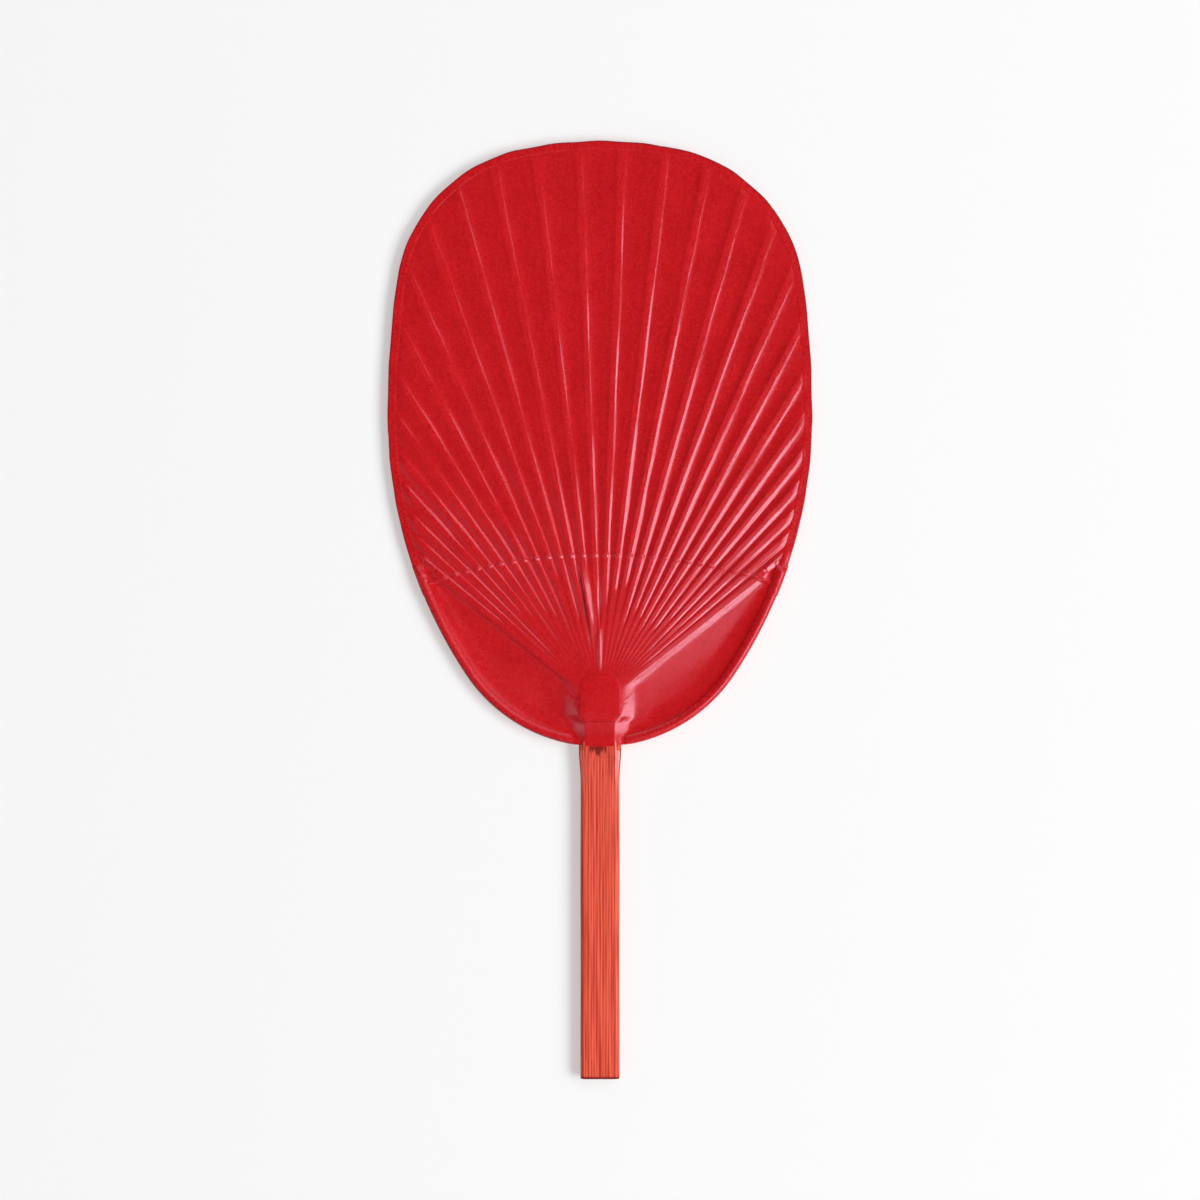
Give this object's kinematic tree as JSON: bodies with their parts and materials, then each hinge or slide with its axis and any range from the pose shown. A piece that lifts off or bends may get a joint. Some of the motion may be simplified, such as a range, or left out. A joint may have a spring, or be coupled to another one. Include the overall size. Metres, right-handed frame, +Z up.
{
  "type": "uchiwa hand fan",
  "caption": "Flat hand fan: oval red paper blade over bamboo ribs split from one flat handle, with a bent bamboo bow as its lower rim.",
  "frame": {"origin": "middle of the fan's outline, on the surface that it lies on", "axes": "+Y from the handle to the tip of the blade, +Z up out of the front face, +X to the right of the front face"},
  "size_m": [0.1632, 0.36, 0.0067],
  "materials": {
    "stained_bamboo": "satin",
    "bare_bamboo": "satin",
    "red_paper": "satin",
    "red_edging": "satin",
    "cotton_thread": "matte"
  },
  "bodies": {
    "root": {"handle_with_ribs": "stained_bamboo", "bow": "bare_bamboo", "thread": "cotton_thread", "front_paper": "red_paper", "back_paper": "red_paper", "rim_strip_top": "red_edging", "rim_strip_left": "red_edging", "rim_strip_right": "red_edging", "ear_patch_left": "red_edging", "ear_patch_right": "red_edging", "neck_patch_front": "red_edging", "neck_patch_back": "red_edging"}
  },
  "joints": []
}
